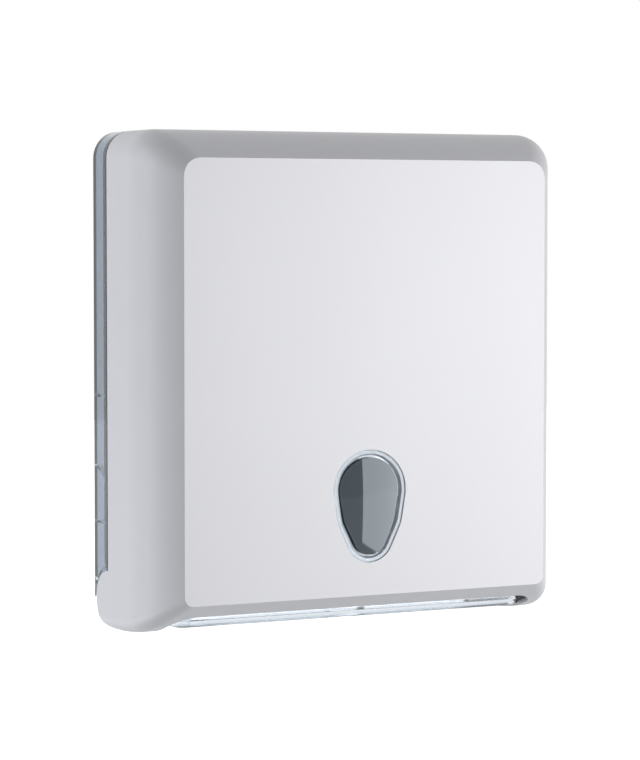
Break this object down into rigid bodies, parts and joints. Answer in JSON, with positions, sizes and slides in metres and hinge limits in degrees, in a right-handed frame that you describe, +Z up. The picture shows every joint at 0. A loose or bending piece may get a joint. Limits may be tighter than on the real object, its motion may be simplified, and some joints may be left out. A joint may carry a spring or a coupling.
{
  "type": "towel dispenser",
  "caption": "Wall dispenser for interfold towels: clear shell and tray, satin cover that swings down on low side hinges, smoked level window and a cam lock on top.",
  "frame": {"origin": "centre of the wall screw pattern, on the back face that lies on the wall", "axes": "+Z up, +Y into the wall, +X to the right as seen from the room"},
  "size_m": [0.273, 0.0938, 0.294],
  "materials": {
    "smoke_clear": "clear smoked styrene, polished",
    "tray_clear": "clear styrene, polished",
    "satin_silver": "satin moulded",
    "lens_smoke": "smoked, polished",
    "pin_white": "natural acetal",
    "lock_nickel": "nickel plated",
    "cam_steel": "zinc plated"
  },
  "bodies": {
    "wall_base": {"back_shell": "smoke_clear", "dispensing_tray": "tray_clear", "hinge_pin_left": "pin_white", "hinge_pin_right": "pin_white"},
    "cover": {"front_cover": "satin_silver", "window_lens": "lens_smoke", "lock_housing": "lock_nickel", "lock_washer": "lock_nickel", "lock_nut": "lock_nickel"},
    "lock": {"lock_plug": "lock_nickel", "lock_cam": "cam_steel", "cam_screw": "cam_steel"}
  },
  "joints": [
    {"name": "cover_hinge", "type": "hinge", "parent": "wall_base", "child": "cover", "pos_m": [0, -0.02, -0.1315], "axis": [1, 0, 0], "range_deg": [0, 95]},
    {"name": "lock_turn", "type": "hinge", "parent": "cover", "child": "lock", "pos_m": [0, -0.036, 0.1208], "axis": [0, 0, -1], "range_deg": [0, 90]}
  ]
}
